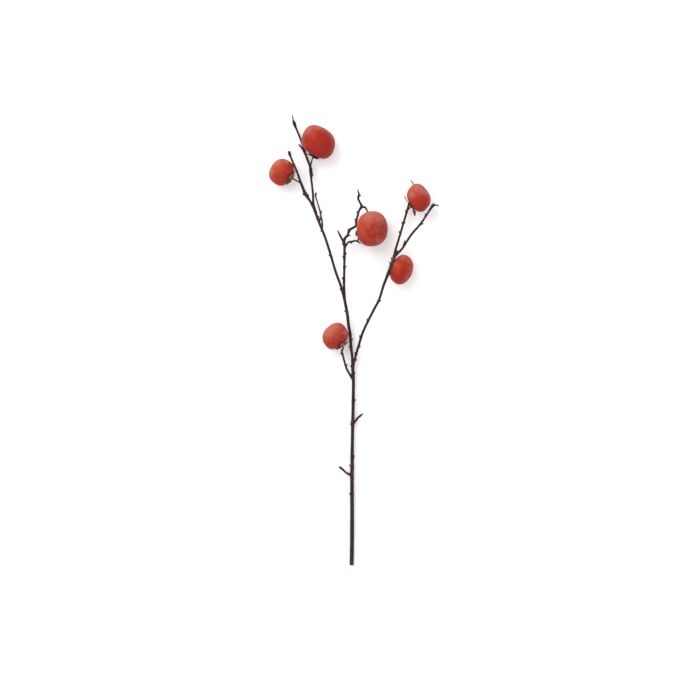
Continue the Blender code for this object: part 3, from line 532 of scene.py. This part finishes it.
def dress_fruit(name, fruit, order):
    """A fine copy of the solid fruit, with dents, creases and a tip. The dents are a sum of sine products
    of the two angles, which fade at both ends."""
    middle = middle_of(fruit, order)
    around = np.linspace(0, 2 * math.pi, FRUIT_COLUMNS + 1)
    down = np.linspace(0, math.pi, FRUIT_ROWS + 1)
    around, down = np.meshgrid(around, down)
    radius, height = fruit_surface(fruit, order, around, down)
    calm = np.sin(down) ** 2
    dent = np.zeros_like(radius)
    for number, (turns, falls, size) in enumerate(DENTS):
        phase = PHASE_STEP * (order + 1) * (number + 1)
        dent += size * MM * np.sin(turns * around + phase) * np.sin(falls * down + 1.7 * phase)
    groove = np.cos(SEPALS * (around - math.radians(fruit["ribs"])))
    grown = np.clip((down - CREASE_START) / CREASE_GROWTH, 0, 1) ** 2
    crease = np.exp(-(((1 + groove) / 2) / CREASE_WIDTH) ** 2) * grown
    radius = radius + dent * calm - CREASE_DEPTH * crease * np.sin(down) ** 0.5
    near_tip = (down < math.pi / 2) * np.exp(-((radius / TIP_WIDTH) ** 2))
    height = height + LOOKS[name]["tip"] * TIP_HEIGHT * near_tip
    points = placed(fruit, middle, radius, around, height)
    if not fruit["hangs"]:
        points[..., 2] = np.maximum(points[..., 2], 0.0)
    tip = LOOKS[name]["tip"] * (down < math.pi / 2) * np.exp(-((radius / TIP_DARK_WIDTH) ** 4))
    # The fruit's crimson, with painted shade on the side away from the lamp.
    crimson_and_shade = crimson_and_shade_over(name, fruit, middle, points, down)
    skin_space = np.stack([np.cos(around) * np.sin(down), np.sin(around) * np.sin(down),
                           3 * down + order], axis=-1)
    piece = grid_piece(f"persimmon_{name}", points, skin,
                       {"bloom_and_highlight": bloom_and_highlight_over(name, fruit, middle, points), "crimson_and_shade": crimson_and_shade, "tip": tip,
                        "skin_space": skin_space})
    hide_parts(f"fruit_{name}")
    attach(piece, "root")
    return piece


for order, (name, fruit) in enumerate(FRUITS.items()):
    piece = dress_fruit(name, fruit, order)
    print(piece.name, len(piece.data.polygons), "faces")

# %% [markdown]
# ## Dry sepals
# By the time the fruit is ripe the four sepals are papery and brown, darker and curled at their edges,
# with veins that fan out from the middle. The colour runs from a tan middle to a dark edge, and some
# sepals are painted nearly black, partly for their own dry brown and partly as painted shade where they
# lie in shadow. Values made with the mesh give both, and noise breaks them up.

# %% Sepal finish
sepal = Finish("dry_sepal", Specular_IOR_Level=0.2)
here = sepal.place()
blotch = sepal.noise(here, 0.006, 3.0, 0.6, 0.5)
grain = sepal.noise(here, 0.0012, 4.0, 0.6)
edge = sepal.attribute("edge")
vein = sepal.attribute("vein")
dark_and_shade = sepal.attribute("dark_and_shade")
tan = sepal.blend(sepal.ramp(blotch, 0.35, 0.68), (0.350, 0.148, 0.062, 1), (0.205, 0.074, 0.033, 1))
# Painted shade: sepals that lie in shadow are blended towards near black, over their own dry brown.
weathered_and_shaded = sepal.blend(sepal.ramp(dark_and_shade + (blotch - 0.5) * 0.5, 0.10, 0.95), tan, (0.050, 0.017, 0.011, 1))
margin = sepal.ramp(edge + (grain - 0.5) * 0.5, 0.74, 1.10) * 0.7
edged = sepal.blend(margin, weathered_and_shaded, (0.070, 0.026, 0.016, 1))
veined = sepal.blend(vein * (1 - dark_and_shade) * 0.40, edged, (0.410, 0.230, 0.130, 1))
sepal.feed("Base Color", sepal.blend(sepal.ramp(grain, 0.45, 0.8) * 0.30, veined, (0.100, 0.050, 0.028, 1)))
sepal.feed("Roughness", 0.72 + blotch * 0.2)
sepal.bump(vein * 0.5 + grain * 0.5, 0.5, 0.0004)

# %% [markdown]
# ## The calyxes
# A calyx is a shallow bowl of four sepals round a woody knob, and it sits on the fruit's shoulder like a
# hat. Each sepal has its own reach and curls its own way, and its margins fold back. One grid makes it
# all: it starts at the middle of the inner face, runs out to the wavy rim, turns over the edge and comes
# back to the middle of the outer face.

# %% Calyxes
CALYX_THICKNESS = 0.9 * MM
VALLEY_SHARE = 0.50  # how far out the notch between two sepals is, as a share of the reach
SEPAL_POINT = 0.60  # under 1 gives broad sepals, over 1 gives narrow ones
CALYX_CLEARANCE = 0.45 * MM
CALYX_LIFT_SHARE = 0.06  # the gap to the fruit grows by this share of the distance from the axis
JOINT_GAP = 0.3 * MM  # between a stalk's end and its calyx
CALYX_COLUMNS, CALYX_RINGS = 240, 34
RIM_NICKS = ((17, 0.022, 1), (29, 0.014, 2))
RIM_RIPPLES = ((11, 0.30, 3), (19, 0.18, 1))
RIM_LIFT = 0.3
RIM_THINNING = 0.55 * CALYX_THICKNESS
VEINS_PER_SEPAL, VEIN_HEIGHT = 5, 0.22 * MM
SCAR_REACH, SCAR_WIDTH, SCAR_HEIGHT = 6.2 * MM, 0.9 * MM, 0.5 * MM


def shoulder(fruit, radius):
    """Height along the axis of the fruit's calyx side at this distance from the axis, without its ribs."""
    half = fruit["diameter"] / 2 * MM * (1 + SHOULDER_SHARE)
    high = fruit["height"] / 2 * MM
    share = np.clip(radius / half, 0, 1)
    side = -high * (1 - share**SQUARENESS) ** (1 / SQUARENESS)
    return side + STEM_DIMPLE[0] * np.exp(-((radius / STEM_DIMPLE[1]) ** 2))


def round_values(values, turned):
    """A smooth wave round the calyx that passes through the four sepals' own values."""
    first, second, third, fourth = values
    return ((first + second + third + fourth) / 4 + (first - third) / 2 * np.cos(turned)
            + (second - fourth) / 2 * np.sin(turned)
            + (first - second + third - fourth) / 4 * np.cos(2 * turned))


def sepal_wave(fruit, around):
    """The angle from the first sepal, and a wave that is 1 along a sepal's middle and 0 at a notch."""
    turned = around - math.radians(fruit["sepals"])
    return turned, 0.5 + 0.5 * np.cos(SEPALS * turned)


def calyx_under(fruit, radius, around, share):
    """Height of the calyx's inner face. It follows the shoulder, its sepals curl away at their tips, and
    their margins fold away, one more than the other where they twist. share is 0 at the middle and 1 at
    the rim."""
    turned, wave = sepal_wave(fruit, around)
    gap = CALYX_CLEARANCE + CALYX_LIFT_SHARE * radius
    curl = round_values(fruit["curls"], turned) * (share * wave) ** 2
    roll = 0.5 - 0.5 * np.cos(SEPALS * turned - math.radians(fruit["twist"]))
    fold = round_values(fruit["folds"], turned) * share**2 * roll
    return shoulder(fruit, radius) - gap - (curl + fold) * MM


def calyx_thickness(fruit, radius):
    """Thickness of the calyx: thin sepals, and a woody knob at the middle that fades as a bell curve."""
    height, width = fruit["knob"]
    return CALYX_THICKNESS + height * MM * np.exp(-((radius / (width * MM)) ** 2))


def dress_calyx(name, fruit, order):
    """The calyx on one grid. The rim's distance follows the four sepals with small nicks, which are sines
    given as (count, size, phase), and ripples of the same kind lift the rim. Veins are thin ridges that fan
    out within each sepal, and a low ring stands round the knob."""
    middle = middle_of(fruit, order)
    around = np.linspace(0, 2 * math.pi, CALYX_COLUMNS + 1)
    from_first, wave = sepal_wave(fruit, around)
    nicks = 1 + sum(size * np.sin(count * around + shift * order) for count, size, shift in RIM_NICKS)
    outline = nicks * round_values(fruit["reach"], from_first) * MM * (
        VALLEY_SHARE + (1 - VALLEY_SHARE) * wave**SEPAL_POINT)
    out = np.linspace(0, 1, CALYX_RINGS + 1)[:, None]
    radius = out * outline
    turned = np.broadcast_to(around, radius.shape)
    inner = calyx_under(fruit, radius, turned, out)
    ripple = sum(size * np.sin(count * turned + shift * order) for count, size, shift in RIM_RIPPLES)
    inner = inner - (ripple + RIM_LIFT) * MM * out**4
    thick = calyx_thickness(fruit, radius) - RIM_THINNING * out**3
    fan = np.cos(SEPALS * VEINS_PER_SEPAL * from_first) ** 8 * np.clip(out * 1.4, 0, 1) * (1 - out**4)
    ring = SCAR_HEIGHT * np.exp(-(((radius - SCAR_REACH) / SCAR_WIDTH) ** 2))
    outer = inner - thick - VEIN_HEIGHT * fan - ring
    radii = np.vstack([radius, radius[::-1]])
    heights = np.vstack([inner, outer[::-1]])
    edge = np.vstack([out * np.ones_like(radius), (out * np.ones_like(radius))[::-1]])
    veins = np.vstack([fan * 0.3, fan[::-1]])
    points = placed(fruit, middle, radii, np.broadcast_to(around, radii.shape), heights)
    # How dark each sepal is: partly its own dry brown, partly painted shade where it lies in shadow.
    dark_and_shade = np.broadcast_to(round_values(LOOKS[name]["dark_and_shade"], from_first), radii.shape)
    piece = grid_piece(f"sepals_{name}", points, sepal, {"edge": edge, "vein": veins, "dark_and_shade": dark_and_shade}, sharp=80)
    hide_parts(f"calyx_{name}")
    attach(piece, "root")
    return piece


for order, (name, fruit) in enumerate(FRUITS.items()):
    piece = dress_calyx(name, fruit, order)
    print(piece.name, len(piece.data.polygons), "faces")

# %% [markdown]
# ## Bark
# Young persimmon bark is thin and dark purple-brown, with a greyish film that splits lengthwise, small
# pale breathing pores, and tan or olive skin on the youngest wood. The pattern has to run along each twig
# whichever way the twig goes, so the mesh carries its own space: two numbers go round the twig and the
# third runs along it. The noise reads that space squeezed along the twig, which draws long streaks. Two
# more values made with the mesh say how young the skin is, and where the stem was sawn off.

# %% Bark finish
bark = Finish("bark", Specular_IOR_Level=0.18)
along_twig = bark.attribute("twig_space", "Vector")
streaks = bark.noise(bark.stretch(along_twig, (1, 1, 0.16)), 0.0011, 5.0, 0.62)
film = bark.noise(bark.stretch(along_twig, (1, 1, 0.40)), 0.0046, 4.0, 0.6, 0.3)
grit = bark.noise(along_twig, 0.0005, 3.0, 0.6)
pores = bark.ramp(bark.dots(bark.stretch(along_twig, (1, 1, 0.45)), 0.0023), 0.20, 0.08)
young = bark.attribute("young")
brown = bark.blend(bark.ramp(streaks, 0.34, 0.68), (0.016, 0.006, 0.007, 1), (0.046, 0.022, 0.021, 1))
filmed = bark.blend(bark.ramp(film, 0.52, 0.72) * 0.45, brown, (0.105, 0.070, 0.068, 1))
pored = bark.blend(pores * 0.55, filmed, (0.180, 0.125, 0.095, 1))
olive = bark.blend(bark.ramp(film, 0.35, 0.65), (0.070, 0.044, 0.026, 1), (0.180, 0.125, 0.085, 1))
young = young * bark.ramp(streaks + film * 0.5 + young * 0.3, 0.50, 0.95)
grown = bark.blend(young, pored, olive)
cut = bark.attribute("cut")
rings = bark.ramp(bark.noise(bark.stretch(along_twig, (1, 1, 0)), 0.0012, 2.0), 0.35, 0.65)
sawn = bark.blend(rings, (0.330, 0.200, 0.105, 1), (0.440, 0.300, 0.175, 1))
bark.feed("Base Color", bark.blend(bark.ramp(cut, 0.12, 0.22), grown, sawn))
bark.feed("Roughness", 0.62 + film * 0.22)
bark.bump(streaks * 0.6 + grit * 0.15 + pores * 0.25, 0.55, 0.0006)

# %% [markdown]
# ## The branch
# Each limb is a ring carried along its route. The ring is never quite round: low ridges run along the
# wood and drift slowly round it, and the wood swells at each bud. Twigs get a collar where they leave
# their parent. Buds are short pointed drops that lean along the twig. The skin is tan at the tips and at
# a few knots and scars, and each of those is given as (x, y, size, strength). A Boolean union then joins
# all of these into one skin with no walls inside, as the real wood has none.

# %% Wood along a route
COLLAR, COLLAR_LENGTH = 0.35, 5.0 * MM  # extra girth where a twig leaves its parent, and how it fades
STALK_WIDTH = 2.6 * MM
STALK_RUN = 2.5 * MM  # the straight last stretch of a stalk, along the fruit's axis
WOOD_SPACING = 1.1 * MM
RIDGES = ((3, 0.030, 23), (5, 0.022, 31), (7, 0.016, 17), (11, 0.012, 13))  # count, height, drift in mm
RIDGE_DRIFT = 1.3  # radians
DOME_SHARE, POINT_SHARE = 0.6, 0.85  # of the radius, for the rounded end of a twig
TAN_LENGTH, TAN_AT_BUDS = 4 * MM, 0.2
PATTERN_STEP = 0.37  # moves the bark pattern from limb to limb
BUD_SWELL, BUD_SWELL_LENGTH = 0.14, 2.6 * MM
BUD_LENGTH, BUD_WIDTH = 4.4 * MM, 2.8 * MM
BUD_SETBACK = 3.6 * MM  # how far behind its tip a bud leaves its twig
BUD_LEAN = math.radians(40)  # between the bud and its twig
BUD_LIFT, BUD_YOUNG = 0.5, 0.15
PALE_PLACES = (
    (-8.5, 1.5, 4, 0.6), (4.5, 222, 6, 0.45), (68, 138, 3, 0.5), (72.7, 147, 2.4, 0.8),
    (74, 155.5, 2.4, 0.5), (-6.5, -159.8, 4, 0.7), (-3, -152, 2.5, 0.9), (157, 257, 4, 0.9),
    (-62.5, 236, 6, 0.4), (-3, -255, 4, 0.3),
)
UP = np.array((0.0, 0.0, 1.0))


def ways_of(centres):
    """At each point of a path: the way along it, the level way across it, and the way up across it."""
    along = np.gradient(centres, axis=0)
    along /= np.linalg.norm(along, axis=1)[:, None]
    side = np.cross(along, UP)
    side /= np.linalg.norm(side, axis=1)[:, None]
    return along, side, np.cross(side, along)


def run_of(centres):
    """Distance along the path at each of its points."""
    return np.r_[0, np.cumsum(np.linalg.norm(np.diff(centres, axis=0), axis=1))]


def wood(name, rows, seed, swell=None, collar=True, tip_young=0.0, columns=24, sawn=False):
    """Closed wood along rows of (x, y, z, diameter) in metres. A ring at each row has radius times
    (1 + ridges + swell + collar). The root is flat, the tip is a short dome, and nothing goes below the
    table. sawn makes the root a pale cut face, and tip_young makes the skin at the tip tan."""
    centres, radii = rows[:, :3], rows[:, 3] / 2
    run = run_of(centres)
    along, side, up = ways_of(centres)
    around = np.linspace(0, 2 * math.pi, columns + 1)
    grow = np.ones((len(rows), columns + 1))
    for number, (count, size, wander) in enumerate(RIDGES):
        drift = RIDGE_DRIFT * np.sin(run / (wander * MM) + PHASE_STEP * seed + number)
        grow += size * np.sin(count * around[None, :] + drift[:, None] + seed * number)
    if collar:
        grow += (COLLAR * np.exp(-run / COLLAR_LENGTH))[:, None]
    swell = np.zeros(len(rows)) if swell is None else swell
    grow += swell[:, None]
    reach = radii[:, None] * grow
    ring = np.cos(around)[None, :, None] * side[:, None] + np.sin(around)[None, :, None] * up[:, None]
    points = centres[:, None] + reach[..., None] * ring
    dome = centres[-1] + DOME_SHARE * (along[-1] * radii[-1] + reach[-1][:, None] * ring[-1])
    tip = np.broadcast_to(centres[-1] + along[-1] * radii[-1] * POINT_SHARE, dome.shape)
    root = np.broadcast_to(centres[0], dome.shape)
    points = np.concatenate([root[None], points, dome[None], tip[None]])
    points[..., 2] = np.maximum(points[..., 2], 0)
    place = np.concatenate([run[:1], run, run[-1:], run[-1:]]) + PATTERN_STEP * seed
    mean = np.concatenate([radii[:1], radii, radii[-1:], radii[-1:]])
    cut = np.zeros((len(points), columns + 1))
    cut[0] = sawn
    space = np.stack(np.broadcast_arrays(np.cos(around) * mean[:, None], np.sin(around) * mean[:, None],
                                         place[:, None]), axis=-1)
    young = swell / BUD_SWELL * TAN_AT_BUDS + tip_young * np.exp(-((run[-1] - run) / TAN_LENGTH) ** 2)
    for x, y, size, share in PALE_PLACES:
        far = np.hypot(centres[:, 0] / MM - x, centres[:, 1] / MM - y)
        young = young + share * np.exp(-((far / size) ** 2))
    young = np.concatenate([young[:1], young, young[-1:], young[-1:]])
    young = np.broadcast_to(np.clip(young, 0, 1)[:, None], space.shape[:2])
    return grid_piece(name, points, bark, {"twig_space": space, "young": young, "cut": cut})


def bud(name, rows, seen, lift, seed):
    """A pointed drop that leans along its twig. Its width follows a sine skewed to its root, over a base
    width, and narrows as the cube of the distance. seen is where the photograph shows its tip."""
    centres = rows[:, :3]
    along, _, _ = ways_of(centres)
    target = np.array(seen) * MM
    near = int(np.argmin(np.hypot(*(centres[:, :2] - target).T)))
    run = run_of(centres)
    where = int(np.argmin(abs(run - max(run[near] - BUD_SETBACK, 0))))
    out = np.array((*(target - centres[near, :2]), 0.0))
    out = out / np.linalg.norm(out) + (0, 0, lift)
    out = out - along[where] * (out @ along[where])
    out = out / np.linalg.norm(out)
    way = math.cos(BUD_LEAN) * along[where] + math.sin(BUD_LEAN) * out
    root = centres[where] + out * (rows[where, 3] / 2 - 0.5 * BUD_WIDTH)
    t = np.linspace(0, 1, 12)[:, None]
    path = root + way * (BUD_LENGTH + 0.5 * BUD_WIDTH) * t + 0.5 * MM * along[where] * t**2
    width = BUD_WIDTH * (0.25 + 0.85 * np.sin(math.pi * t**0.75) ** 0.8) * (1 - 0.55 * t**3)
    drop = wood(name, np.hstack([path, width]), seed, collar=False, columns=12)
    young = drop.data.attributes["young"].data
    young.foreach_set("value", np.full(len(young), BUD_YOUNG, dtype=np.float32))
    return where, drop


def stalk_rows(fruit, order):
    """The stalk's route: from the wood, through its points, to the calyx along the fruit's axis."""
    axis, _, _ = fruit_frame(fruit)
    flat = np.zeros(1)
    seat = calyx_under(fruit, flat, flat, flat)[0] - calyx_thickness(fruit, flat)[0] - JOINT_GAP
    end = middle_of(fruit, order) + axis * seat
    way = [np.array(p) * MM for p in fruit["stalk"]]
    way += [end - axis * STALK_RUN, end - axis * STALK_RUN / 2, end]
    return smooth_route([(*p, STALK_WIDTH) for p in way], 0.8 * MM)


def join_into(base, others):
    """One Boolean union of the base with all the others, applied."""
    parts = bpy.data.collections.new("wood_parts")
    bpy.context.scene.collection.children.link(parts)
    for obj in others:
        bpy.context.scene.collection.objects.unlink(obj)
        parts.objects.link(obj)
    union = base.modifiers.new("union", "BOOLEAN")
    union.operation = "UNION"
    union.operand_type = "COLLECTION"
    union.collection = parts
    union.solver = "MANIFOLD"
    graph = bpy.context.evaluated_depsgraph_get()
    joined = bpy.data.meshes.new_from_object(base.evaluated_get(graph), depsgraph=graph)
    base.modifiers.clear()
    base.data = joined
    for obj in others:
        bpy.data.objects.remove(obj, do_unlink=True)
    bpy.data.collections.remove(parts)
    return base


# %% Grow every limb, bud and stalk, and join them
pieces = []
for seed, (name, (route, buds)) in enumerate(LIMBS.items()):
    rows = smooth_route(np.array(route, float) * MM, WOOD_SPACING)
    run = run_of(rows[:, :3])
    swell = np.zeros(len(rows))
    drops = []
    for number, seen in enumerate(buds):
        lift = BUD_LIFT * math.sin(PHASE_STEP * number)
        where, drop = bud(f"{name}_bud_{number}", rows, seen, lift, seed + number)
        swell = np.maximum(swell, BUD_SWELL * np.exp(-(((run - run[where]) / BUD_SWELL_LENGTH) ** 2)))
        drops.append(drop)
    stem = name == "stem"
    pieces.append(wood(name, rows, seed, swell, collar=not stem, tip_young=0.4 if stem else 0.9, sawn=stem))
    pieces.extend(drops)
for order, (name, fruit) in enumerate(FRUITS.items()):
    pieces.append(wood(f"stalk_{name}", stalk_rows(fruit, order), 40 + order, columns=16))

branch = join_into(pieces[0], pieces[1:])
branch.name = "persimmon_branch"
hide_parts("branch")
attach(branch, "root")
print(branch.name, len(branch.data.polygons), "faces", [a.name for a in branch.data.attributes])

# %% [markdown]
# ## The table
# The photograph's ground is plain white with no shadow, as on a table lit from inside. A wide,
# smooth, nearly white table stands in for it. It glows a little, so it is as bright as paper, and only a
# faint soft shade under the fruits is left.

# %% Table
TABLE_HALF = 40.0
TABLE_DROP = 0.05 * MM
TABLE_GLOW = 0.16
table_mesh = bpy.data.meshes.new("table")
corners = [(x * TABLE_HALF, y * TABLE_HALF, -TABLE_DROP) for x, y in ((-1, -1), (1, -1), (1, 1), (-1, 1))]
table_mesh.from_pydata(corners, [], [(0, 1, 2, 3)])
table = bpy.data.objects.new("table", table_mesh)
bpy.context.scene.collection.objects.link(table)
paper = Finish("white_table", Roughness=0.9, Base_Color=(0.92, 0.92, 0.92, 1),
               Emission_Color=(1, 1, 1, 1), Emission_Strength=TABLE_GLOW)
table_mesh.materials.append(paper.material)
